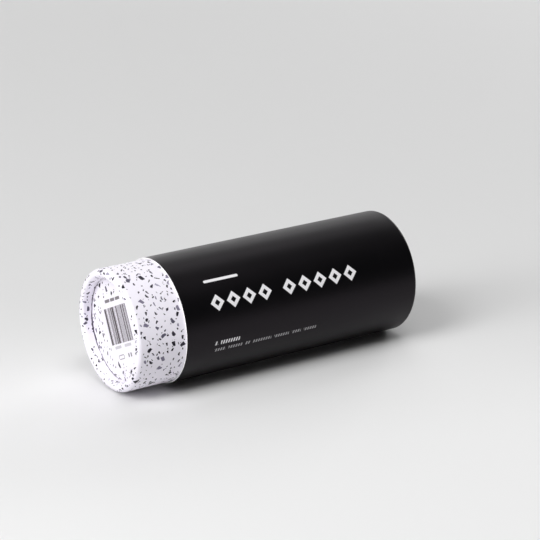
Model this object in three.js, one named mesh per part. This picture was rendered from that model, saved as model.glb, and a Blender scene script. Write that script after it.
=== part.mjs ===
// A closed paper tube with a long slip lid, lying on its side.
// Millimetres, +Z up. The axis of the tube runs along X: the pale base end points to -X and the
// black lid to +X. The origin is at the middle of the footprint, on the surface it lies on.

import * as THREE from 'three';

// Driving dimensions
const lidRadius = 25;        // outside of the black sleeve
const lidWall = 0.57;        // thin board, so the step at the seam is small
const slipGap = 0.08;        // air between the sleeve and the tube inside it
const baseWall = 1.2;
const lidLength = 108.5;     // from the cut edge at the seam to the crest of the far rim
const exposedLength = 21.1;  // pale band that the sleeve leaves uncovered
const discThickness = 1.5;
const recessDepth = 4.65;    // from the crest of a rim down to the face of its disc
const rimRoll = 1.65;        // outside radius of a rolled edge
const crestFlat = 0.25;      // width of the flat on top of a rolled edge, where the tube stands on end
const seatGap = 0.05;        // round each disc, and between its face and the skirt that clamps it
const mouthGap = 0.3;        // between the mouth of the base tube and the lid's disc

// Fineness: an even count of flats puts one of them exactly underneath
const flatsAround = 72;
const flatsPressed = 3;      // flats that are one where the sleeve lies, so that it doesn't roll
const arcDivisions = 2;      // each quarter of a rolled edge gets twice as many straight pieces

// Sizes that follow from those
const totalLength = exposedLength + lidLength;
const cornerShare = 1 / Math.cos(Math.PI / flatsAround);
const axisHeight = lidRadius * cornerShare * Math.cos((flatsPressed * Math.PI) / flatsAround);
const baseRadius = lidRadius - lidWall - slipGap;
const baseEndX = -totalLength / 2;
const lidEndX = totalLength / 2;
const skirtDepth = recessDepth - seatGap;
const closureDepth = recessDepth + discThickness;
const baseLength = totalLength - closureDepth - mouthGap;

const terrazzoPaper = { color: 0xf3f1f6, roughness: 0.6, metalness: 0 };
const blackPaper = { color: 0x161618, roughness: 0.55, metalness: 0 };

// One tube wall, as a closed outline of (radius, distance from the crest of its rolled end).
// It goes from the mouth down the bore, inside the roll to the end of the skirt, and back up the
// skirt, over the crest and along the outside.
function rolledWall(radius, wall, length) {
  const outerCentre = radius - rimRoll;
  const innerCentre = outerCentre - crestFlat;
  const skirtRadius = innerCentre - rimRoll;
  const hollowRoll = rimRoll - wall;
  const quarter = Math.PI / 2;
  const outline = new THREE.Path();
  outline.moveTo(radius - wall, length);
  outline.lineTo(radius - wall, rimRoll);
  outline.absarc(outerCentre, rimRoll, hollowRoll, 0, -quarter, true);
  outline.lineTo(innerCentre, wall);
  outline.absarc(innerCentre, rimRoll, hollowRoll, -quarter, -2 * quarter, true);
  outline.lineTo(skirtRadius + wall, skirtDepth);
  outline.lineTo(skirtRadius, skirtDepth);
  outline.lineTo(skirtRadius, rimRoll);
  outline.absarc(innerCentre, rimRoll, rimRoll, -2 * quarter, -quarter, false);
  outline.lineTo(outerCentre, 0);
  outline.absarc(outerCentre, rimRoll, rimRoll, -quarter, 0, false);
  outline.lineTo(radius, length);
  outline.lineTo(radius - wall, length);
  return outline.getPoints(arcDivisions);
}

// A flat disc, as an outline that starts and ends on the axis.
function discOutline(radius) {
  return [
    new THREE.Vector2(0, recessDepth),
    new THREE.Vector2(radius, recessDepth),
    new THREE.Vector2(radius, closureDepth),
    new THREE.Vector2(0, closureDepth),
  ];
}

// Turns an outline about the axis of the tube. The end that it is measured from lies at endX,
// and inward is 1 where the tube runs from there towards +X, or -1 towards -X.
function turned(name, outline, endX, inward, finish) {
  const placed = outline.map((p) => new THREE.Vector2(p.x * cornerShare, endX + inward * p.y));
  const ordered = inward > 0 ? placed : placed.reverse();
  const geometry = new THREE.LatheGeometry(ordered, flatsAround, Math.PI / flatsAround);
  geometry.rotateZ(-Math.PI / 2);
  const mesh = new THREE.Mesh(geometry, new THREE.MeshStandardMaterial(finish));
  mesh.name = name;
  return mesh;
}

// Presses flat what would reach below the surface that the tube lies on.
function pressUnderside(mesh) {
  const corners = mesh.geometry.attributes.position;
  for (let i = 0; i < corners.count; i += 1) {
    corners.setZ(i, Math.max(corners.getZ(i), -axisHeight));
  }
}

function makeBase() {
  const base = new THREE.Group();
  const wall = rolledWall(baseRadius, baseWall, baseLength);
  const disc = discOutline(baseRadius - baseWall - seatGap);
  base.add(turned('base_tube', wall, baseEndX, 1, terrazzoPaper));
  base.add(turned('base_disc', disc, baseEndX, 1, terrazzoPaper));
  return base;
}

function makeLid() {
  const lid = new THREE.Group();
  const wall = rolledWall(lidRadius, lidWall, lidLength);
  const disc = discOutline(lidRadius - lidWall - seatGap);
  const sleeve = turned('lid_tube', wall, lidEndX, -1, blackPaper);
  pressUnderside(sleeve);
  lid.add(sleeve);
  lid.add(turned('lid_disc', disc, lidEndX, -1, blackPaper));
  return lid;
}

const paperTube = new THREE.Group();
paperTube.add(makeBase(), makeLid());
paperTube.position.z = axisHeight;

export default paperTube;
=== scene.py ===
"""A closed paper tube with a long slip lid, dressed for a studio picture.

The tube lies on its side along X: the pale end of the base points to -X, and the black sleeve of the
lid covers the rest of it. Sizes here are in millimetres, with depths measured in from the rolled rim
of a piece, and angles in degrees. Angles round the axis go up from the side that faces -Y. A
finished mesh is in metres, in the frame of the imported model.
"""

import logging
from collections.abc import Callable, Iterator
from dataclasses import dataclass, field
from enum import Enum
from math import atan2, cos, hypot, pi, radians, sin, tau

import bmesh
import bpy
from bmesh.types import BMesh, BMVert
from bpy.types import ColorRamp, Material, Node, NodeSocket, Object
from mathutils import Euler, Matrix, Vector, noise


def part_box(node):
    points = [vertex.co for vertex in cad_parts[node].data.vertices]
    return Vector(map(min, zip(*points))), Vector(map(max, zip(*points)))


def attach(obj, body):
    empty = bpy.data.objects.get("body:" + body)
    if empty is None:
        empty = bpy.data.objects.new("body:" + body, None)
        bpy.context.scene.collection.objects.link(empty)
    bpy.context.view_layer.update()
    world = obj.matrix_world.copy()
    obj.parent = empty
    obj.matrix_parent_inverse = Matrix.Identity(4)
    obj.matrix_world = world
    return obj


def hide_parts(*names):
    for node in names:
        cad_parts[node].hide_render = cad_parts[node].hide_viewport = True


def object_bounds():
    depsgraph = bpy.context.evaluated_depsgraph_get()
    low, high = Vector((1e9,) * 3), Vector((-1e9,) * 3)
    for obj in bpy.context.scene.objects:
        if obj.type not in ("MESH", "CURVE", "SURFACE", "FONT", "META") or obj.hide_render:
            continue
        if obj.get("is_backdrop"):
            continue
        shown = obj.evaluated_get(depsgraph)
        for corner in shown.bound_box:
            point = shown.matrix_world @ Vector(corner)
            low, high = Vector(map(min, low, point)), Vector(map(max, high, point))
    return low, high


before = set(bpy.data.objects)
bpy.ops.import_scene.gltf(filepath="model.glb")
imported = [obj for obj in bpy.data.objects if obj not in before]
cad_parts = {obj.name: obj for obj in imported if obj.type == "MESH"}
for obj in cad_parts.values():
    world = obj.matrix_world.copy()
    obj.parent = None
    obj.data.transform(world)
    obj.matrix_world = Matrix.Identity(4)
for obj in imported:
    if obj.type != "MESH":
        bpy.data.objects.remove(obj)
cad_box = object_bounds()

LOG = logging.getLogger("paper_tube")
MM = 0.001
# A length that doesn't count, and one past everything
TINY, FAR = 0.01, 100.0
# Blurs of crisp and of soft print
CRISP, SOFT = 0.05, 0.06
# Room round a spot on the bake's sheet, as a factor
SPARE = 1.02
# Steps of the short turn that a round mesh is doubled up from
SPUN_STEPS = 16
# The steepest fold that is shaded smooth
SMOOTH_ANGLE = 40.0

Pair = tuple[float, float]
Corners = tuple[Pair, Pair]
Colour = Point = tuple[float, float, float]
Settings = dict[str, object]
Sockets = dict[str | int, object]


class Zone(Enum):
    """What covers a stretch of an outline. The value is its material slot."""

    WRAP, CUT, LINER = range(3)


class Layout(Enum):
    """How the printed stone pattern is laid out. The value is how full it is, where 1 is as on a wall."""

    WRAPPED = 1.0
    FACE = 0.8


def axis_height() -> float:
    """Height of the tube's axis above the surface that it lies on."""
    low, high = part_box("base_tube")
    return (low[2] + high[2]) / 2 / MM


def along_x(node: str, high: bool) -> float:
    """Where a CAD node begins or ends along the axis."""
    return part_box(node)[1 if high else 0][0] / MM


def eased(share: float) -> float:
    """A share of the way from 0 to 1, held at both ends and smooth between them."""
    held = min(max(share, 0.0), 1.0)
    return held * held * (3 - 2 * held)


def between(value: float, stops: tuple[Pair, ...]) -> float:
    """Reads a value off a line of straight stretches.

    Args:
        value: Where to read it.
        stops: The ends of the stretches, as (place, reading).

    Returns:
        The reading there.
    """
    for (low, at_low), (high, at_high) in zip(stops, stops[1:]):
        if value <= high:
            return at_low + (at_high - at_low) * (value - low) / (high - low)
    return stops[-1][1]


def round_noise(angle: float, count: float, seed: float) -> float:
    """Smooth noise from about -1 to 1 at an angle round a circle, in about that count of waves."""
    reach = count / tau
    return 2 * noise.noise(Vector((reach * cos(angle), reach * sin(angle), seed)))


def creased(angle: float, waves: tuple[Point, ...], seed: float) -> float:
    """Sharp-edged noise from 0 up round a circle, from the count, height and own seed of each wave."""
    return sum(height * abs(round_noise(angle, count, seed + own)) for count, height, own in waves)


def angle_of(place: Vector) -> float:
    """How far round the axis a point lies, in radians."""
    return atan2(place.z, -place.y)


def near_angle(angle: float, other: float) -> float:
    """An angle in radians with whole turns taken off or added until it is near another one."""
    return angle - tau * round((angle - other) / tau)


def dimmed(colour: Colour, share: float) -> Colour:
    """A colour with that share of its brightness."""
    return tuple(tone * share for tone in colour)


def linked(name: str, data: bpy.types.ID | BMesh) -> Object:
    """Makes an object and puts it in the scene.

    Args:
        name: Its name.
        data: What it shows. A bmesh is used up.

    Returns:
        The object.
    """
    if isinstance(data, BMesh):
        mesh, data = data, bpy.data.meshes.new(name)
        mesh.to_mesh(data)
        mesh.free()
    made = bpy.data.objects.new(name, data)
    bpy.context.scene.collection.objects.link(made)
    return made


# Mesh making


class Outline:
    """The outline of something turned, drawn by leading one vertex of a bmesh round it.

    X is the depth, and Z the distance out from the axis. tip is the vertex that was drawn last, run
    the length drawn so far, and marks says where along it each zone begins.
    """

    def __init__(self, mesh: BMesh, depth: float, radius: float) -> None:
        """Starts an outline in the wrap.

        Args:
            mesh: The bmesh to draw in.
            depth: Depth of the first vertex.
            radius: Its distance out from the axis.
        """
        mesh.verts.layers.float.new("run")
        self.mesh = mesh
        self.tip = bmesh.ops.create_vert(mesh, co=(depth, 0, radius))["vert"][0]
        self.run = 0.0
        self.marks = [(0.0, Zone.WRAP)]

    def enter(self, zone: Zone) -> None:
        """Says what covers the outline from here on."""
        self.marks.append((self.run, zone))

    def zone_at(self, run: float) -> Zone:
        """What covers the outline at a distance along it."""
        return [zone for start, zone in self.marks if start <= run][-1]

    def _advance(self, tip: BMVert) -> None:
        """Takes a new vertex as the tip and notes how far along it lies."""
        self.run += (tip.co - self.tip.co).length
        tip[self.mesh.verts.layers.float["run"]], self.tip = self.run, tip

    def line(self, depth: float, radius: float, pieces: int) -> None:
        """Draws a straight stretch.

        Args:
            depth: Depth of its end.
            radius: Distance of its end from the axis.
            pieces: How many equal pieces it has.
        """
        step = (Vector((depth, 0, radius)) - self.tip.co) / pieces
        for _ in range(pieces):
            tip = bmesh.ops.extrude_vert_indiv(self.mesh, verts=[self.tip])["verts"][0]
            bmesh.ops.translate(self.mesh, verts=[tip], vec=step)
            self._advance(tip)

    def arc(self, depth: float, radius: float, turn: float, pieces: int) -> None:
        """Draws a round stretch.

        Args:
            depth: Depth of its centre.
            radius: Distance of its centre from the axis.
            turn: How far round, positive from inwards to outwards.
            pieces: How many straight pieces stand for it.
        """
        for _ in range(pieces):
            drawn = bmesh.ops.spin(
                self.mesh, geom=[self.tip], cent=(depth, 0, radius), axis=(0, 1, 0),
                angle=-radians(turn) / pieces, steps=1, use_merge=False, use_duplicate=False,
            )
            self._advance([part for part in drawn["geom_last"] if isinstance(part, BMVert)][0])


def turned(mesh: BMesh, start: float, doublings: int) -> None:
    """Turns the outline in a bmesh all the way round the axis of the tube.

    A short turn is spun, and then doubled until it closes, which is quicker than one long spin.

    Args:
        mesh: The bmesh with the outline.
        start: Where the turn starts and ends.
        doublings: How often the spun turn is doubled.
    """
    lift = Matrix.Rotation(radians(90 - start), 3, "X")
    bmesh.ops.rotate(mesh, verts=mesh.verts[:], cent=(0, 0, 0), matrix=lift)
    angle = tau / 2 ** doublings
    bmesh.ops.spin(
        mesh, geom=mesh.verts[:] + mesh.edges[:], cent=(0, 0, 0), axis=(1, 0, 0),
        angle=angle, steps=SPUN_STEPS, use_merge=False, use_duplicate=False,
    )
    for _ in range(doublings):
        whole = mesh.verts[:] + mesh.edges[:] + mesh.faces[:]
        copied = bmesh.ops.duplicate(mesh, geom=whole)["geom"]
        copies = [part for part in copied if isinstance(part, BMVert)]
        bmesh.ops.rotate(mesh, verts=copies, cent=(0, 0, 0), matrix=Matrix.Rotation(-angle, 3, "X"))
        angle *= 2


def widened(vertex: BMVert, factor: float) -> None:
    """Moves a vertex out from the axis by a factor."""
    vertex.co.y *= factor
    vertex.co.z *= factor


@dataclass
class Turned:
    """A piece turned about the axis of the tube, with what carries it and what it stands for.

    Each kind of piece says where its turned mesh closes, where its paper's own place begins and how
    often the mesh is doubled. It has methods that draw its outline and shape its mesh. On the bake's
    sheet, stops are heights by place on the outline, and spots are middles and radii of round zones.
    """

    name: str
    node: str  # The CAD node that it replaces
    body: str
    slot: str  # The record's material slot
    rim_x: float  # Where the rolled rim lies on X
    inward: int  # 1 where depths grow towards +X, or -1
    seed: float  # Picks the piece's own irregularities
    radius: float  # Outside radius

    def build(self, papers: list[Material]) -> Object:
        """Makes the piece, puts it where it goes and hands it to the frame.

        Args:
            papers: The materials of the wrap, the cut board and the liner.

        Returns:
            The piece.
        """
        mesh = self.mesh = bmesh.new()
        self.draw()
        turned(mesh, self.seam_at, self.doublings)
        self.paper()
        self.shape()
        bmesh.ops.remove_doubles(mesh, verts=mesh.verts[:], dist=TINY / 10)
        bmesh.ops.dissolve_degenerate(mesh, edges=mesh.edges[:], dist=TINY / 100)
        bmesh.ops.scale(mesh, vec=(self.inward * MM, MM, MM), verts=mesh.verts[:])
        place = Vector((self.rim_x, 0, axis_height())) * MM
        bmesh.ops.translate(mesh, vec=place, verts=mesh.verts[:])
        bmesh.ops.recalc_face_normals(mesh, faces=mesh.faces[:])
        piece = linked(self.name, mesh)
        piece.data.shade_smooth()
        piece.data.set_sharp_from_angle(angle=radians(SMOOTH_ANGLE))
        for paper in papers:
            piece.data.materials.append(paper)
        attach(piece, self.body)
        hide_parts(self.node)
        return piece

    def paper(self) -> None:
        """Gives each face its zone, its place on the paper and its place on the bake's sheet."""
        mesh, outline = self.mesh, self.outline
        runs = mesh.verts.layers.float["run"]
        paper, sheet = (mesh.loops.layers.uv.new(name) for name in ("paper", "OFBake"))
        begin = radians(self.paper_from)
        for face in mesh.faces:
            middle = begin + (angle_of(face.calc_center_median()) - begin) % tau
            along = [loop.vert[runs] for loop in face.loops]
            if max(along) - min(along) > outline.run / 2:
                along = [run or outline.run for run in along]
            zone = outline.zone_at(sum(along) / len(along))
            face.material_index = zone.value
            for loop, run in zip(face.loops, along):
                angle = near_angle(angle_of(loop.vert.co), middle)
                loop[paper].uv = (run, angle * self.radius)
                loop[sheet].uv = ((angle - begin) / tau, between(run, self.stops))
                if zone in self.spots:
                    *centre, scale = self.spots[zone]
                    across = Vector((-loop.vert.co.y, loop.vert.co.z)) / (self.radius * SPARE)
                    loop[sheet].uv = Vector(centre) + scale * across


@dataclass
class RolledTube(Turned):
    """A wall of wrapped paper board, cut square at its mouth and rolled in at its other end.

    The rolled-in paper ends in a skirt down inside. Waves are as creased() takes them.
    """

    wall: float  # Thickness of the board with its papers
    length: float  # From the mouth to the crest of the roll
    outer_roll: float  # Radius of the outer half of the rolled edge
    inner_roll: float  # Radius of its inner half, down to the skirt
    least_roll: float = 0.2  # Radius inside a roll that is thinner than the wall
    skirt_depth: float = 4.6
    pleat_depth: float = 0.13  # At the skirt's edge
    pleats: tuple[Point, ...] = ((70, 1.0, 0), (150, 0.5, 5))
    sways: int = 7  # How many times round it the skirt sways in and out
    uneven: float = 0.5  # How far the skirt's edge strays back from the disc, at most
    frays: tuple[Point, ...] = ((11, 1.0, 2), (40, 0.4, 4))
    loose_at: float = 150.0  # Where it strays most
    tight_share: float = 0.1  # Share of the stray that is left across from there
    lap_step: float = 0.05  # Thickness of the wrap's outer layer, where it laps over itself
    lap_width: float = 8.0
    lap_slopes: Pair = (0.3, 3.0)  # How wide it rises at its edge, and sinks at its other side
    seam_at: float = 170.0  # Where the lap is, too
    paper_from: float = -190.0
    doublings: int = 5
    ends: Pair = (0.8, 0.97)  # Heights on the bake's sheet where the outside and the inside end
    spots: dict[Zone, Point] = field(default_factory=dict)

    @property
    def skirt_radius(self) -> float:
        """Radius of the skirt's visible side."""
        return self.radius - self.outer_roll - self.inner_roll

    def draw(self) -> None:
        """Draws the wall's outline, from the outside of the mouth round to where it began."""
        outer, inner, wall = self.outer_roll, self.inner_roll, self.wall
        hollow_outer, hollow_inner = (max(roll - wall, self.least_roll) for roll in (outer, inner))
        ridge = self.radius - outer
        line = self.outline = Outline(self.mesh, self.length, self.radius)
        line.line(outer, self.radius, 12)
        line.arc(outer, ridge, 90, 14)
        line.arc(inner, ridge, 90, 12)
        line.line(self.skirt_depth, self.skirt_radius, 8)
        line.enter(Zone.CUT)
        line.line(self.skirt_depth, self.skirt_radius + wall, 2)
        line.enter(Zone.LINER)
        line.line(wall + hollow_inner, ridge - hollow_inner, 4)
        line.arc(wall + hollow_inner, ridge, -90, 4)
        line.arc(wall + hollow_outer, self.radius - wall - hollow_outer, -90, 4)
        line.line(self.length, self.radius - wall, 12)
        line.enter(Zone.CUT)
        line.line(self.length, self.radius, 4)
        self.stops = ((0.0, 0.0), (line.marks[1][0], self.ends[0]),
                      (line.marks[-1][0], self.ends[1]), (line.run, 1.0))

    def crimp(self) -> None:
        """Draws the rolled-in paper into pleats, and frays the edge of the skirt a little."""
        ridge, reach = self.radius - self.outer_roll, self.skirt_radius + self.wall
        for vertex in self.mesh.verts:
            radius, depth = hypot(vertex.co.y, vertex.co.z), vertex.co.x
            held = eased((ridge - radius) / (ridge - reach)) * eased(depth / self.skirt_depth)
            if held == 0 or depth > self.skirt_depth + 10 * TINY:
                continue
            angle = angle_of(vertex.co)
            frayed = min(creased(angle, self.frays, self.seed), 1.0)
            loose = (1 + cos(angle - radians(self.loose_at))) / 2
            loose = self.tight_share + (1 - self.tight_share) * loose
            vertex.co.x -= self.uneven * loose * held ** 3 * frayed
            swayed = 2 * round_noise(angle, self.sways, self.seed + 9)
            out = 0.5 - creased(angle, self.pleats, self.seed) + swayed
            widened(vertex, 1 + self.pleat_depth * held * out / radius)

    def lap(self) -> None:
        """Raises the outside by one thickness of paper where the wrap laps over itself."""
        rise, sink = self.lap_slopes
        for vertex in self.mesh.verts:
            radius = hypot(vertex.co.y, vertex.co.z)
            if radius >= self.radius - TINY:
                behind = (radians(self.seam_at) - angle_of(vertex.co)) % tau * self.radius
                raised = self.lap_step * eased(behind / rise) * (1 - eased((behind - self.lap_width) / sink))
                widened(vertex, (radius + raised) / radius)

    def shape(self) -> None:
        """Shapes the skirt and the lap, and presses flat what would reach below the floor."""
        self.crimp()
        self.lap()
        floor = -axis_height()
        for vertex in self.mesh.verts:
            vertex.co.z = max(vertex.co.z, floor)


@dataclass
class EndDisc(Turned):
    """The round board that closes a rolled end, with paper on its face."""

    depth: float
    thickness: float
    corner: float = 0.2  # Radius of the corners of its edge
    bow: float = 0.08  # How far the middle of the face stands out
    ripple: float = 0.03  # How far the paper on the face waves
    ripples: float = 0.09  # Waves of it in a millimetre
    level: Pair = (0.8, 0.15)  # Share of the radius where the bow starts to fade, and over which it does
    rings: int = 30
    seam_at: float = 180.0
    paper_from: float = 0.0
    doublings: int = 4
    edge_from: float = 0.96  # Height on the bake's sheet where the edge begins
    spots: dict[Zone, Point] = field(
        default_factory=lambda: {Zone.WRAP: (0.38, 0.38, 0.38), Zone.LINER: (0.88, 0.1, 0.09)},
    )

    def draw(self) -> None:
        """Draws the disc's outline from the middle of its face to the middle of its back."""
        back, corner = self.depth + self.thickness, self.corner
        line = self.outline = Outline(self.mesh, self.depth, 0)
        line.line(self.depth, self.radius - corner, self.rings)
        line.arc(self.depth + corner, self.radius - corner, 90, 4)
        line.enter(Zone.CUT)
        line.line(back - corner, self.radius, 2)
        line.enter(Zone.LINER)
        line.arc(back - corner, self.radius - corner, 90, 4)
        line.line(back, 0, 8)
        self.stops = ((line.marks[1][0], self.edge_from), (line.marks[2][0], 1.0))

    def shape(self) -> None:
        """Bows the face a little and lets the paper on it wave."""
        start, width = self.level
        for vertex in self.mesh.verts:
            if vertex.co.x <= self.depth + TINY:
                share = hypot(vertex.co.y, vertex.co.z) / self.radius
                spot = Vector((vertex.co.y * self.ripples, vertex.co.z * self.ripples, self.seed))
                out = self.bow * (1 - share ** 2) + self.ripple * noise.noise(spot)
                vertex.co.x -= out * (1 - eased((share - start) / width))


# Shader sums


def math_method(operation: str, last: bool = False) -> Callable[..., "Signal"]:
    """Makes a method of a signal that adds a Math node.

    Args:
        operation: What the node does with its terms.
        last: Whether the signal is the last term, and not the first.

    Returns:
        The method.
    """
    def method(signal: "Signal", *others: "Term") -> "Signal":
        """Adds the node."""
        terms = (*others, signal) if last else (signal, *others)
        return signal.recipe.math(operation, *terms)

    return method


class Signal:
    """A number that varies over a surface. Sums with it add Math nodes to its recipe.

    < and > give 1 where they hold and 0 elsewhere, and modulo() is never below zero.
    """

    def __init__(self, recipe: "Recipe", socket: NodeSocket) -> None:
        """Wraps an output socket of a recipe's node."""
        self.recipe = recipe
        self.socket = socket

    def inside(self, blur: float) -> "Signal":
        """1 where this distance is below zero and 0 above it, with an edge of that blur."""
        return self.recipe.eased(self, (-blur, blur), (1.0, 0.0))

    __add__ = __radd__ = math_method("ADD")
    __sub__ = math_method("SUBTRACT")
    __rsub__ = math_method("SUBTRACT", last=True)
    __mul__ = __rmul__ = math_method("MULTIPLY")
    __truediv__ = math_method("DIVIDE")
    __lt__ = math_method("LESS_THAN")
    __gt__ = math_method("GREATER_THAN")
    __abs__ = math_method("ABSOLUTE")
    highest = math_method("MAXIMUM")
    lowest = math_method("MINIMUM")
    modulo = math_method("FLOORED_MODULO")


Term = Signal | float


class Recipe:
    """A material under construction, around one Principled shader."""

    def __init__(self, name: str, **constants: object) -> None:
        """Starts a material.

        Args:
            name: The material's name.
            **constants: Values of the shader's own sockets, named with underscores for spaces.
        """
        self.material = bpy.data.materials.new(name)
        self.material.use_nodes = True
        self.tree = self.material.node_tree
        self.tree.nodes.clear()
        self.shader = self.node("ShaderNodeBsdfPrincipled")
        self.node("ShaderNodeOutputMaterial", sockets={"Surface": self.shader.outputs["BSDF"]})
        for words, value in constants.items():
            self.shader.inputs[words.replace("_", " ")].default_value = value

    def node(self, kind: str, settings: Settings | None = None, sockets: Sockets | None = None) -> Node:
        """Adds a node.

        Args:
            kind: The node's type.
            settings: What is set before its sockets are fed. "stops" are those of its ramp.
            sockets: The value or link of each input, by name or number.

        Returns:
            The node.
        """
        made = self.tree.nodes.new(kind)
        for word, value in (settings or {}).items():
            if word == "stops":
                self._set_stops(made.color_ramp, value)
            else:
                setattr(made, word, value)
        for word, value in (sockets or {}).items():
            self.feed(made.inputs[word], value)
        return made

    @staticmethod
    def _set_stops(ramp: ColorRamp, stops: tuple[tuple[float, Colour], ...]) -> None:
        """Gives a ramp its stops, in steps of one colour each.

        Args:
            ramp: The ramp.
            stops: Where each colour begins, and the colour.
        """
        ramp.interpolation = "CONSTANT"
        while len(ramp.elements) < len(stops):
            ramp.elements.new(1.0)
        for element, (place, colour) in zip(ramp.elements, stops):
            element.position = place
            element.color = (*colour, 1.0)

    def feed(self, socket: NodeSocket, value: object) -> None:
        """Links a socket or sets its value.

        Args:
            socket: The socket.
            value: A signal or another socket to link it to, or a plain value.
        """
        if isinstance(value, Signal):
            value = value.socket
        if isinstance(value, NodeSocket):
            self.tree.links.new(value, socket)
        elif isinstance(value, tuple) and socket.type == "RGBA":
            socket.default_value = (*value, 1.0)
        else:
            socket.default_value = value

    def math(self, operation: str, *terms: Term) -> Signal:
        """Adds a Math node."""
        made = self.node("ShaderNodeMath", {"operation": operation}, dict(enumerate(terms)))
        return Signal(self, made.outputs[0])

    def vector(self, operation: str, *terms: object) -> NodeSocket:
        """Adds a Vector Math node and returns its vector."""
        return self.node("ShaderNodeVectorMath", {"operation": operation}, dict(enumerate(terms))).outputs[0]

    def parts(self, vector: NodeSocket) -> tuple[Signal, Signal, Signal]:
        """Splits a vector or a colour into its three numbers."""
        made = self.node("ShaderNodeSeparateXYZ", sockets={"Vector": vector})
        return tuple(Signal(self, socket) for socket in made.outputs)

    def joined(self, x: Term, y: Term, z: Term = 0.0) -> NodeSocket:
        """Makes a vector of three numbers."""
        return self.node("ShaderNodeCombineXYZ", sockets={0: x, 1: y, 2: z}).outputs[0]

    def colours(self, share: Term, first: object, second: object) -> NodeSocket:
        """Mixes two colours, by a share that is 1 where the second one shows."""
        made = self.node("ShaderNodeMix", {"data_type": "RGBA"}, {0: share, 6: first, 7: second})
        return made.outputs[2]

    def length(self, x: Signal, y: Signal) -> Signal:
        """How far a place is from where both its numbers are 0."""
        return self.math("SQRT", x * x + y * y)

    def eased(self, value: Signal, span: Pair, ends: Pair) -> Signal:
        """Leads a number smoothly from one end to the other, while a value crosses a span.

        Args:
            value: The value.
            span: Where the change starts and stops.
            ends: The number before it and after it.

        Returns:
            The number.
        """
        names = ("From Min", "From Max", "To Min", "To Max")
        sockets = {"Value": value, **dict(zip(names, (*span, *ends)))}
        made = self.node("ShaderNodeMapRange", {"interpolation_type": "SMOOTHSTEP"}, sockets)
        return Signal(self, made.outputs["Result"])

    def paper_place(self) -> NodeSocket:
        """The place on a wall's paper, in millimetres: along it, and round it."""
        return self.node("ShaderNodeUVMap", {"uv_map": "paper"}).outputs["UV"]

    def place(self) -> NodeSocket:
        """The place in the object's own frame, in metres."""
        return self.node("ShaderNodeTexCoord").outputs["Object"]

    def grain(self, place: object, scale: float, detail: float = 3.0) -> Signal:
        """Noise from 0 to 1, with a scale in waves for each unit of the place."""
        sockets = {"Vector": place, "Scale": scale, "Detail": detail, "Roughness": 0.55}
        return Signal(self, self.node("ShaderNodeTexNoise", sockets=sockets).outputs["Fac"])

    def dice(self, place: NodeSocket) -> tuple[Signal, Signal, Signal]:
        """Three numbers from 0 to 1 that are a place's own."""
        thrown = self.node("ShaderNodeTexWhiteNoise", {"noise_dimensions": "3D"}, {"Vector": place})
        return self.parts(thrown.outputs["Color"])

    def bands(self, place: Signal, pitch: float, half: float) -> Signal:
        """Distance to even bands, below zero inside them, by half the share that they take up."""
        return abs(place.modulo(pitch) - pitch / 2) - pitch * half

    def box(self, x: Signal, y: Signal, corners: Corners, radius: float) -> Signal:
        """Distance to a rectangle with round corners, below zero inside it.

        Args:
            x: Place across.
            y: Place up.
            corners: Its lower left and its upper right corner.
            radius: Radius of its corners.

        Returns:
            The distance, in the units of the place.
        """
        beside, above = (
            abs(place - (low + high) / 2) - ((high - low) / 2 - radius)
            for place, low, high in zip((x, y), *corners)
        )
        outside = self.length(beside.highest(0.0), above.highest(0.0))
        return outside + beside.highest(above).lowest(0.0) - radius

    def covered(self, colour: NodeSocket, relief: Signal, height: float, strength: float,
                roughness: Signal | None = None) -> Material:
        """Feeds the shader, which finishes the material.

        Args:
            colour: The base colour.
            relief: The form of the surface, where 1 is as high as the height.
            height: That height, in metres.
            strength: Share of the relief that shows.
            roughness: The roughness, where it varies.

        Returns:
            The material.
        """
        sockets = {"Height": relief, "Distance": height, "Strength": strength}
        bump = self.node("ShaderNodeBump", sockets=sockets).outputs["Normal"]
        for word, value in {"Base Color": colour, "Roughness": roughness, "Normal": bump}.items():
            if value is not None:
                self.feed(self.shader.inputs[word], value)
        return self.material


# Finishes


@dataclass(frozen=True)
class ChipSize:
    """One size of chip in the printed stone pattern."""

    spacing: float  # Between the middles of neighbouring chips
    share: float  # Share of the places that hold a chip
    reach: Pair  # Least and greatest distance from a chip's middle to its sides
    palest: float = 1.0  # How far up the tones its palest chips are
    clear: float = 0.5  # Room kept round larger chips


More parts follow.
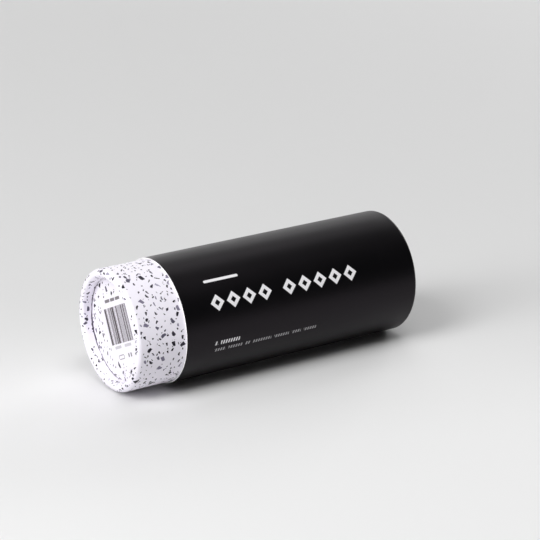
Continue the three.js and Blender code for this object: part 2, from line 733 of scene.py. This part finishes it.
@dataclass(frozen=True)
class DiscPrint:
    """What is printed on the white panel of the end disc: plain shapes that say nothing.

    Places are in the panel's own frame.
    """

    turn: float = 26.1  # How far the panel is turned from level
    middle: Pair = (-0.42, 1.58)  # Its origin on the disc, as (Y, Z) from the axis
    panel: Corners = ((-10.8, -13.4), (10.8, 11.4))  # Corners of the panel, which holds no chips
    block: Corners = ((-9.25, -6.9), (10.35, 7.55))  # Corners of the striped block
    stripe: float = 0.6  # From one fine stripe to the next
    fill_half: float = 0.275  # Half the share of that pitch that is inked
    # Middles and widths of the broad stripes, and of the bare ones
    ribs: tuple[Pair, ...] = (
        (-8.2, 1.3), (-5.0, 0.4), (-3.0, 0.4), (-1.5, 1.6), (1.8, 0.7), (6.15, 0.7), (7.85, 0.6), (9.9, 0.5),
    )
    gaps: tuple[Pair, ...] = ((-6.3, 0.25), (0.45, 0.42), (9.0, 0.25))
    # Corners and strength of each plain dash
    dashes: tuple[tuple[Corners, float], ...] = (
        (((-6.5, 9.65), (-2.3, 10.9)), 0.85),
        (((-1.6, 9.65), (2.2, 10.9)), 0.85),
        (((2.9, 9.65), (6.7, 10.9)), 0.85),
        (((-11.1, -8.8), (-10.4, -7.6)), 0.5),
        (((-6.8, -8.75), (-1.3, -7.6)), 0.4),
        (((1.7, -8.75), (7.4, -7.6)), 0.4),
        (((2.9, -12.9), (3.9, -11.3)), 0.85),
        (((4.9, -12.9), (5.9, -11.3)), 0.85),
    )
    dash_corner: float = 0.3
    ring: Corners = ((-5.3, -12.9), (-0.7, -11.4))
    ring_corner: float = 0.7
    ring_half: float = 0.15  # Half the thickness of the ring
    ring_strength: float = 0.85
    colour: Colour = (0.09, 0.075, 0.085)

    def framed(self, y: Signal, z: Signal) -> tuple[Signal, Signal]:
        """Turns a place on the disc, from the axis, into one in the panel's own frame."""
        beside, up, turn = y - self.middle[0], z - self.middle[1], radians(self.turn)
        return up * sin(turn) - beside * cos(turn), up * cos(turn) + beside * sin(turn)

    def marks(self, recipe: Recipe, u: Signal, v: Signal) -> Signal:
        """Draws the print.

        Args:
            recipe: The material.
            u: Place across the panel.
            v: Place up it.

        Returns:
            1 where there is ink.
        """
        bars = recipe.bands(u, self.stripe, self.fill_half).inside(CRISP)
        for middle, wide in self.ribs:
            bars = bars.highest((abs(u - middle) - wide / 2).inside(CRISP))
        for middle, wide in self.gaps:
            bars = bars * (1 - (abs(u - middle) - wide / 2).inside(CRISP))
        ink = bars * recipe.box(u, v, self.block, 2 * TINY).inside(CRISP)
        for corners, strength in self.dashes:
            ink = ink.highest(recipe.box(u, v, corners, self.dash_corner).inside(SOFT) * strength)
        ring = abs(recipe.box(u, v, self.ring, self.ring_corner)) - self.ring_half
        return ink.highest(ring.inside(SOFT) * self.ring_strength)


@dataclass(frozen=True)
class TerrazzoPaper:
    """White printed paper with scattered chips of stone, for the base.

    A range is a least value and what a chip's own number from 0 to 1 adds to it.
    """

    layout: Layout
    ground: Colour = (0.895, 0.862, 0.945)
    clouded: Colour = (0.80, 0.77, 0.86)  # What its clouds lean towards
    # Colours of the chips, each from a share of them on
    tones: tuple[tuple[float, Colour], ...] = (
        (0.0, (0.012, 0.008, 0.018)),
        (0.4, (0.03, 0.024, 0.042)),
        (0.56, (0.11, 0.1, 0.145)),
        (0.76, (0.22, 0.2, 0.28)),
        (0.92, (0.4, 0.38, 0.49)),
    )
    sizes: tuple[ChipSize, ...] = (
        ChipSize(4.9, 0.62, (0.8, 1.38)),
        ChipSize(3.2, 0.64, (0.55, 0.9), 0.85),
        ChipSize(2.2, 0.56, (0.34, 0.52), 0.6),
    )
    wall_cut: Pair = (1079.0, 910.0)  # Where on the endless printed sheet the wall's paper is cut from
    disc_cut: Pair = (531.0, 297.0)  # Where on it the disc's paper is cut from
    size_step: Pair = (17.3, 9.1)  # How far on the next size of chip is taken from
    scatter: float = 0.72  # How far chips stray from even rows, up to 1
    lean: float = 55.0  # How far a chip's length strays from the way round the tube
    slim: Pair = (1.2, 0.9)  # Range of a chip's slimness
    slivers: Pair = (0.9, 1.6)  # Number from which a chip is a sliver, and what is added to its slimness
    skew: float = 1.1
    taper: float = 0.75
    corner_cut: Pair = (0.5, 0.8)  # Range of the reach of its first side, as a share
    side: Pair = (0.6, 0.6)  # Range of the reach of its other sides
    rounding: float = 0.05
    bite: Pair = (0.8, 0.75)  # Middle and radius of the round bite out of some, as shares of the reach
    bitten: float = 0.16  # Share of chips with a bite
    clearance: float = 0.8  # Room kept round the panel, as a share of the greatest reach
    waver: Pair = (1.6, 0.25)  # Waves in a millimetre of the chips' edges, and their height
    speckle: Point = (3.2, 1.2, 0.3)  # Waves in a millimetre of the ink's tone, their height, and the least
    blur: float = 0.03  # Softness of a printed edge
    gap_shade_radius: float = 20.78  # Radius from which a dark ring is painted on the disc, just under the skirt
    painted_gap_shade: Colour = (0.16, 0.13, 0.2)  # Painted shade beyond that radius, standing for the shade in the gap under the skirt's edge
    print: DiscPrint = DiscPrint()

    def chips(self, recipe: Recipe, place: NodeSocket, cut: Point, size: ChipSize) -> tuple[Signal, Signal]:
        """Scatters the chips of one size.

        Args:
            recipe: The material.
            place: The place on the paper.
            cut: Where on the endless sheet the paper is cut from.
            size: The size of chip.

        Returns:
            The distance to the nearest chip's edge, below zero inside it, and a number from 0 to 1
            that is the chip's own.
        """
        place = recipe.vector("ADD", place, cut)
        cells = recipe.node(
            "ShaderNodeTexVoronoi", {"voronoi_dimensions": "2D", "feature": "F1"},
            {"Vector": place, "Scale": 1 / size.spacing, "Randomness": self.scatter},
        ).outputs
        own, reach, turn = recipe.parts(cells["Color"])
        first, second, third = recipe.dice(cells["Color"])
        tone, kind, fourth = recipe.dice(recipe.vector("ADD", cells["Color"], (3.0, 7.0, 11.0)))
        local = recipe.node(
            "ShaderNodeVectorRotate", {"rotation_type": "Z_AXIS"},
            {"Vector": recipe.vector("SUBTRACT", place, cells["Position"]),
             "Angle": (turn - 0.5) * radians(2 * self.lean)},
        )
        across, length, _ = recipe.parts(local.outputs[0])
        radius = reach * (size.reach[1] - size.reach[0]) + size.reach[0]
        slim = self.slim[0] + second * self.slim[1] + (kind > self.slivers[0]) * self.slivers[1]
        skewed = across * slim + length * (third - 0.5) * self.skew
        tapered = skewed * (1.0 + (fourth - 0.5) * self.taper * length / radius)
        slope = cos(radians(45))
        edge = (tapered + length) * slope - radius * (kind * self.corner_cut[1] + self.corner_cut[0])
        sides = (((tapered - length) * slope, first), (tapered, second), (-1 * tapered, third),
                 (length, fourth), (-1 * length, kind))
        for way, spread in sides:
            other = way - radius * (spread * self.side[1] + self.side[0])
            edge = recipe.math("SMOOTH_MAX", edge, other, self.rounding)
        bitten = radius * self.bite[1] - recipe.length(tapered + radius * self.bite[0], length)
        edge = edge.highest(bitten - (kind > self.bitten) * FAR)
        missing = own > size.share * self.layout.value
        if self.layout is Layout.FACE:
            y, z, _ = recipe.parts(recipe.vector("SUBTRACT", cells["Position"], cut))
            panel = recipe.box(*self.print.framed(y, z), self.print.panel, 1.0)
            missing = missing.highest(panel < size.reach[1] * self.clearance)
        return edge + missing * FAR, tone

    def pattern(self, recipe: Recipe, place: NodeSocket) -> tuple[Signal, NodeSocket]:
        """Lays all the chips.

        Args:
            recipe: The material.
            place: The place on the paper.

        Returns:
            1 where there is ink and 0 on bare paper, and the colour of the ink.
        """
        waves, height = self.waver
        waver = recipe.node("ShaderNodeTexNoise", {"noise_dimensions": "2D"},
                            {"Vector": place, "Scale": waves, "Detail": 1.0}).outputs["Color"]
        waver = recipe.vector("SUBTRACT", waver, (0.5, 0.5, 0.5))
        place = recipe.vector("ADD", place, recipe.vector("MULTIPLY", waver, (height, height, 0.0)))
        left, low = self.disc_cut if self.layout is Layout.FACE else self.wall_cut
        ink, colour, clear = None, None, None
        for index, size in enumerate(self.sizes):
            cut = (left + self.size_step[0] * index, low + self.size_step[1] * index, 0.0)
            edge, tone = self.chips(recipe, place, cut, size)
            mask = edge.inside(self.blur)
            shade = recipe.node("ShaderNodeValToRGB", {"stops": self.tones},
                                {"Fac": tone * size.palest}).outputs[0]
            if ink is None:
                ink, colour, clear = mask, shade, edge
                continue
            mask = mask * (clear > size.clear)
            colour = recipe.colours(mask, colour, shade)
            ink, clear = ink.highest(mask), clear.lowest(edge)
        waves, height, least = self.speckle
        speckle = recipe.grain(place, waves, 2.0) * height + least
        return ink, recipe.vector("MULTIPLY", colour, recipe.joined(speckle, speckle, speckle))

    def made(self) -> Material:
        """Makes the material.

        Returns:
            The material.
        """
        recipe = Recipe(f"terrazzo_{self.layout.name.lower()}", Specular_IOR_Level=0.2)
        solid = recipe.place()
        _, y, z = recipe.parts(solid)
        y, z = y * (1 / MM), z * (1 / MM) - axis_height()
        place = recipe.joined(y, z) if self.layout is Layout.FACE else recipe.paper_place()
        ink, colour = self.pattern(recipe, place)
        cloud, fibres = recipe.grain(solid, 90.0), recipe.grain(solid, 2600.0)
        ground = recipe.colours((cloud - 0.5) * 0.25, self.ground, self.clouded)
        colour = recipe.colours(ink, ground, colour)
        if self.layout is Layout.FACE:
            # Painted shade: beyond that radius the disc's face is darkened, standing for the shade under the
            # skirt's edge
            out = recipe.length(y, z) + (cloud - 0.5) * 0.5
            colour = recipe.colours(out > self.gap_shade_radius, colour, self.painted_gap_shade)
            print_ink = self.print.marks(recipe, *self.print.framed(y, z))
            colour = recipe.colours(print_ink, colour, self.print.colour)
        roughness = 0.56 + (cloud - 0.5) * 0.1 - ink * 0.06
        return recipe.covered(colour, fibres * 0.5 + cloud, 0.00003, 0.5, roughness)


@dataclass(frozen=True)
class TickLine:
    """A small line of slanted ticks, broken into dashes."""

    at: float  # Where it is round the sleeve
    half: float  # Half its height
    strength: float  # Of its ink
    dashes: tuple[Pair, ...]  # Ends of the dashes


@dataclass(frozen=True)
class SleevePrint:
    """What is printed on the sleeve: plain shapes that say nothing, in the places of the words.

    Places are (along from the mouth, round from the side that faces -Y).
    """

    rule: Corners = ((12.25, 20.525), (27.75, 21.675))  # Corners of the short rule above
    groups: tuple[tuple[float, int], ...] = ((12.25, 4), (45.1, 5))  # Start and count of each lozenge row
    pitch: float = 7.2  # From one lozenge to the next
    lozenge: Pair = (3.05, 3.3)  # Half width and half height of one
    lozenges_at: float = 12.0
    stroke: float = 1.35  # Thickness of their outlines
    margin: float = 0.3  # Room kept round a row
    last_gap: float = 1.0  # What is left off after its last lozenge
    tick: float = 1.15  # From one tick to the next
    tick_half: float = 0.27  # Half the share of that pitch that is inked
    slant: float = 0.3  # How far the ticks lean
    lines: tuple[TickLine, ...] = (
        TickLine(-4.1, 0.8, 0.95, ((12.5, 13.9), (15.2, 23.75))),
        TickLine(-7.2, 0.65, 0.42, (
            (12.6, 17.6), (19.0, 25.2), (26.6, 28.8), (30.2, 38.6), (40.0, 46.8), (48.2, 52.4), (53.8, 59.6),
        )),
    )

    def marks(self, recipe: Recipe, along: Signal, around: Signal) -> Signal:
        """Draws the print.

        Args:
            recipe: The material.
            along: Place along the sleeve.
            around: Place round it.

        Returns:
            1 where there is full ink.
        """
        ink = recipe.box(along, around, self.rule, (self.rule[1][1] - self.rule[0][1]) / 2).inside(SOFT)
        wide, tall = self.lozenge
        slope = wide * tall / hypot(wide, tall)
        rise = abs(around - self.lozenges_at) / tall
        reach = tall + self.margin
        for start, count in self.groups:
            beside = abs((along - start).modulo(self.pitch) - wide) / wide
            edge = (beside + rise - 1) * slope
            outline = abs(edge + self.stroke / 2) - self.stroke / 2
            corners = ((start - self.margin, self.lozenges_at - reach),
                       (start + self.pitch * count - self.last_gap, self.lozenges_at + reach))
            row = recipe.box(along, around, corners, TINY)
            ink = ink.highest(outline.inside(CRISP) * (row < 0.0))
        ticks = recipe.bands(along - around * self.slant, self.tick, self.tick_half)
        for line in self.lines:
            for start, end in line.dashes:
                corners = ((start, line.at - line.half), (end, line.at + line.half))
                dash = recipe.box(along, around, corners, TINY)
                ink = ink.highest(ticks.highest(dash).inside(SOFT) * line.strength)
        return ink


@dataclass(frozen=True)
class BlackPaper:
    """Soft-touch black paper, for the lid."""

    printed: bool
    colour: Colour = (0.0018, 0.0018, 0.0021)
    clouded: Colour = (0.004, 0.004, 0.0045)  # What its clouds lean towards
    ink: Colour = (0.84, 0.83, 0.85)
    roughness: float = 0.38
    gloss: float = 0.225  # How much it mirrors, where 0.5 is a usual varnish
    sheen: Colour = (1.0, 0.86, 1.0)  # Colour of what it mirrors straight on
    print: SleevePrint = SleevePrint()

    def made(self) -> Material:
        """Makes the material.

        Returns:
            The material.
        """
        name = "black_printed" if self.printed else "black_plain"
        recipe = Recipe(name, Specular_IOR_Level=self.gloss, Specular_Tint=(*self.sheen, 1.0))
        solid = recipe.place()
        cloud, fibres = recipe.grain(solid, 60.0), recipe.grain(solid, 2200.0)
        colour = recipe.colours(cloud * 0.35, self.colour, self.clouded)
        roughness = self.roughness + (cloud - 0.5) * 0.08 + (fibres - 0.5) * 0.06
        if self.printed:
            along, around, _ = recipe.parts(recipe.paper_place())
            ink = self.print.marks(recipe, along, around)
            colour = recipe.colours(ink, colour, self.ink)
            roughness = roughness + ink * 0.05
        return recipe.covered(colour, fibres * 0.5 + cloud, 0.00003, 0.5, roughness)


@dataclass(frozen=True)
class CutBoard:
    """The raw edge of the board: white, in faint plies."""

    colour: Colour = (0.96, 0.95, 0.96)
    ply: float = 0.14  # Thickness of one ply
    ply_half: float = 0.4  # Half the share of it that is pale
    ply_blur: float = 0.02
    ply_shade: Pair = (0.6, 0.12)  # Brightness between the plies, and the share of it that shows
    fray_shade: Pair = (0.75, 0.15)  # The same for the fray

    def made(self) -> Material:
        """Makes the material.

        Returns:
            The material.
        """
        recipe = Recipe("cut_board", Roughness=0.8)
        along, _, _ = recipe.parts(recipe.paper_place())
        plies = recipe.bands(along, self.ply, self.ply_half).inside(self.ply_blur)
        fray = recipe.grain(recipe.place(), 1800.0)
        colour = self.colour
        for share, (bright, shown) in ((1 - plies, self.ply_shade), (fray, self.fray_shade)):
            colour = recipe.colours(share * shown, colour, dimmed(self.colour, bright))
        return recipe.covered(colour, fray, 0.00008, 0.6)


@dataclass(frozen=True)
class LinerPaper:
    """The plain white paper inside a wall, wound on in a spiral."""

    colour: Colour = (0.80, 0.79, 0.78)
    clouded: Colour = (0.70, 0.68, 0.66)  # What its clouds lean towards
    pitch: float = 62.0  # From one turn of the spiral to the next
    slope: float = 0.7  # How steeply it is wound
    lap: float = 1.0  # How wide it laps over itself
    line: Pair = (0.12, 0.08)  # Half width and blur of the line at the lap's edge
    line_colour: Colour = (0.35, 0.33, 0.32)

    def made(self) -> Material:
        """Makes the material.

        Returns:
            The material.
        """
        recipe = Recipe("liner", Roughness=0.7)
        along, around, _ = recipe.parts(recipe.paper_place())
        wound = (along + around * self.slope).modulo(self.pitch)
        half, blur = self.line
        cloud = recipe.grain(recipe.place(), 120.0, 4.0)
        colour = recipe.colours(cloud * 0.5, self.colour, self.clouded)
        line = (abs(wound - self.lap) - half).inside(blur)
        colour = recipe.colours(line * 0.35, colour, self.line_colour)
        return recipe.covered(colour, cloud + (wound < self.lap) * 2, 0.00004, 0.6)


# The tube


@dataclass
class Shell:
    """One body of the tube: a wall with a rolled rim, closed by a disc."""

    body: str
    slot: str  # The record's material slot
    wall_names: tuple[str, str]  # The wall's piece, and the CAD node that it replaces
    disc_names: tuple[str, str]  # The same for the disc
    inward: int  # 1 where the rolled rim points to -X, or -1
    seeds: Pair  # Of the wall and of the disc
    radius: float
    wall: float
    rolls: Pair  # Radii of the outer and the inner half of the rolled edge
    disc_radius: float  # Radius of the disc behind the skirt
    disc_thickness: float = 1.5
    recess: float = 4.65  # From the crest of the rim to the face of the disc

    def papers(self) -> tuple[Material, Material]:
        """Makes the papers of the wall and of the disc."""
        raise NotImplementedError

    def build(self) -> Iterator[Object]:
        """Makes the pieces.

        Returns:
            The pieces, one by one.
        """
        rim_x, mouth_x = (along_x(self.wall_names[1], high) for high in (self.inward < 0, self.inward > 0))
        (wrap, face), inside = self.papers(), [CutBoard().made(), LinerPaper().made()]
        shared = (self.body, self.slot, rim_x, self.inward)
        wall = RolledTube(*self.wall_names, *shared, self.seeds[0], self.radius,
                          self.wall, abs(mouth_x - rim_x), *self.rolls)
        yield wall.build([wrap, *inside])
        disc = EndDisc(*self.disc_names, *shared, self.seeds[1], self.disc_radius,
                       self.recess, self.disc_thickness)
        yield disc.build([face, *inside])


@dataclass
class Base(Shell):
    """The base, in stone-patterned paper."""

    body: str = "base"
    slot: str = "terrazzo_paper"
    wall_names: tuple[str, str] = ("base_wall", "base_tube")
    disc_names: tuple[str, str] = ("base_end", "base_disc")
    inward: int = 1
    seeds: Pair = (3.7, 8.1)
    radius: float = 24.35
    wall: float = 1.2
    rolls: Pair = (2.0, 1.5)
    disc_radius: float = 23.1

    def papers(self) -> tuple[Material, Material]:
        """Makes the paper round the wall, and the one with the panel."""
        return tuple(TerrazzoPaper(layout).made() for layout in Layout)


@dataclass
class Lid(Shell):
    """The lid: a long black sleeve, rolled in and closed at its far end."""

    body: str = "lid"
    slot: str = "black_paper"
    wall_names: tuple[str, str] = ("lid_sleeve", "lid_tube")
    disc_names: tuple[str, str] = ("lid_end", "lid_disc")
    inward: int = -1
    seeds: Pair = (12.3, 21.9)
    radius: float = 25.0
    wall: float = 0.57
    rolls: Pair = (1.6, 1.9)
    disc_radius: float = 24.35

    def papers(self) -> tuple[Material, Material]:
        """Makes the printed paper and the plain one."""
        return tuple(BlackPaper(printed).made() for printed in (True, False))


# The studio


@dataclass(frozen=True)
class Softbox:
    """One soft studio light, which faces the tube."""

    name: str
    azimuth: float  # Where it stands, from +Y towards +X
    elevation: float  # How high it stands
    size: Pair  # Its width and height, in metres
    glow: float  # Brightness of its face
    distance: float = 1.6  # From the tube, in metres

    def build(self) -> None:
        """Makes the light."""
        lamp = bpy.data.lights.new(self.name, "AREA")
        lamp.shape = "RECTANGLE"
        lamp.size, lamp.size_y = self.size
        lamp.energy = pi * self.size[0] * self.size[1] * self.glow
        made = linked(self.name, lamp)
        aside, up = radians(self.azimuth), radians(self.elevation)
        outward = Vector((sin(aside) * cos(up), cos(aside) * cos(up), sin(up)))
        made.location = outward * self.distance
        made.rotation_euler = (-outward).to_track_quat("-Z", "Y").to_euler()
        made.visible_camera = False


@dataclass
class Studio:
    """A pale floor, soft light and the camera."""

    azimuth: float = -32.585  # Which way the camera looks, from +Y
    elevation: float = 20.04  # How far it looks down
    from_seam: Point = (-367.111, -657.782, 295.276)  # Its place from the axis of the tube at the seam
    lens: float = 138.07
    film: float = 36.0
    floor_size: float = 4.0  # Half the width of the floor, in metres
    floor_tones: Pair = (0.79, 0.68)  # Brightness of the floor in front of the tube, and behind it, where it is darker with painted shade
    fade: Pair = (0.69, 0.85)  # Where the painted shade on the floor starts and stops getting darker, in metres ahead
    horizon: float = 0.69  # Brightness of what a camera sees past the floor
    lights: tuple[Softbox, ...] = (
        Softbox("left_low", 266, 25, (0.7, 0.6), 7.5),
        Softbox("left_high", 257, 47, (0.7, 0.6), 8.2),
        Softbox("high_left", 238, 66, (1.3, 0.7), 1.4),
        Softbox("high_front", 187, 66, (0.6, 0.5), 5.3),
        Softbox("front", 205, 50, (0.6, 0.5), 0.65),
        Softbox("front_card", 213, 6, (0.7, 0.32), 3.0),
        Softbox("overhead", 150, 75, (0.6, 0.5), 1.75),
        Softbox("back_high", 33, 60, (0.9, 0.5), 1.8),
        Softbox("backdrop", 33, 28, (0.7, 0.45), 1.65),
        Softbox("backdrop_foot", 33, 8, (0.8, 0.34), 1.25),
        Softbox("backdrop_left", 10, 6, (0.8, 0.3), 3.5),
        Softbox("backdrop_right", 64, 20, (0.7, 0.5), 6.45),
    )

    def camera_place(self) -> Vector:
        """Where the camera is, in metres."""
        seam = Vector((along_x("lid_tube", False), 0, axis_height()))
        return (seam + Vector(self.from_seam)) * MM

    def add_camera(self) -> None:
        """Makes the camera."""
        data = bpy.data.cameras.new("camera")
        data.sensor_width = self.film
        data.lens = self.lens
        camera = linked("camera", data)
        camera.location = self.camera_place()
        camera.rotation_euler = Euler((radians(90 - self.elevation), 0, radians(self.azimuth)))
        bpy.context.scene.camera = camera

    def add_floor(self) -> None:
        """Makes the floor, with painted shade that makes it a little darker behind the tube than in front of
        it.
        """
        mesh = bmesh.new()
        bmesh.ops.create_grid(mesh, x_segments=8, y_segments=8, size=self.floor_size)
        floor = linked("floor", mesh)
        floor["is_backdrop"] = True
        recipe = Recipe("pale_floor", Roughness=0.7)
        x, y, _ = recipe.parts(recipe.place())
        eye, aside = self.camera_place(), radians(self.azimuth)
        ahead = (x - eye.x) * -sin(aside) + (y - eye.y) * cos(aside)
        # Painted shade: the floor's colour gets darker further ahead, standing for light that falls off
        # behind the tube
        tone = recipe.eased(ahead, self.fade, self.floor_tones)
        recipe.feed(recipe.shader.inputs["Base Color"], recipe.joined(tone, tone, tone))
        floor.data.materials.append(recipe.material)

    def add_world(self) -> None:
        """Makes a room that gives no light, and that a camera sees as the far end of the floor."""
        world = bpy.data.worlds.new("room")
        world.use_nodes = True
        nodes, links = world.node_tree.nodes, world.node_tree.links
        nodes.clear()
        shown = nodes.new("ShaderNodeBackground")
        path = nodes.new("ShaderNodeLightPath")
        shown.inputs["Color"].default_value = (self.horizon, self.horizon, self.horizon, 1)
        links.new(path.outputs["Is Camera Ray"], shown.inputs["Strength"])
        links.new(shown.outputs[0], nodes.new("ShaderNodeOutputWorld").inputs[0])
        bpy.context.scene.world = world

    def build(self) -> None:
        """Makes the studio."""
        self.add_camera()
        self.add_floor()
        self.add_world()
        for light in self.lights:
            light.build()
        bpy.context.scene.view_settings.view_transform = "Standard"


def main() -> None:
    """Builds the studio and the tube, and works out the size of both models."""
    logging.basicConfig(level=logging.INFO, format="%(name)s: %(message)s")
    Studio().build()
    for assembly in (Base(), Lid()):
        for piece in assembly.build():
            LOG.info("%s is finished, with %d faces", piece.name, len(piece.data.polygons))
    visual_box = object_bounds()
    boxes = {"cad": cad_box, "visual": visual_box}
    {name: [list(corner) for corner in box] for name, box in boxes.items()}


if __name__ == "__main__":
    main()
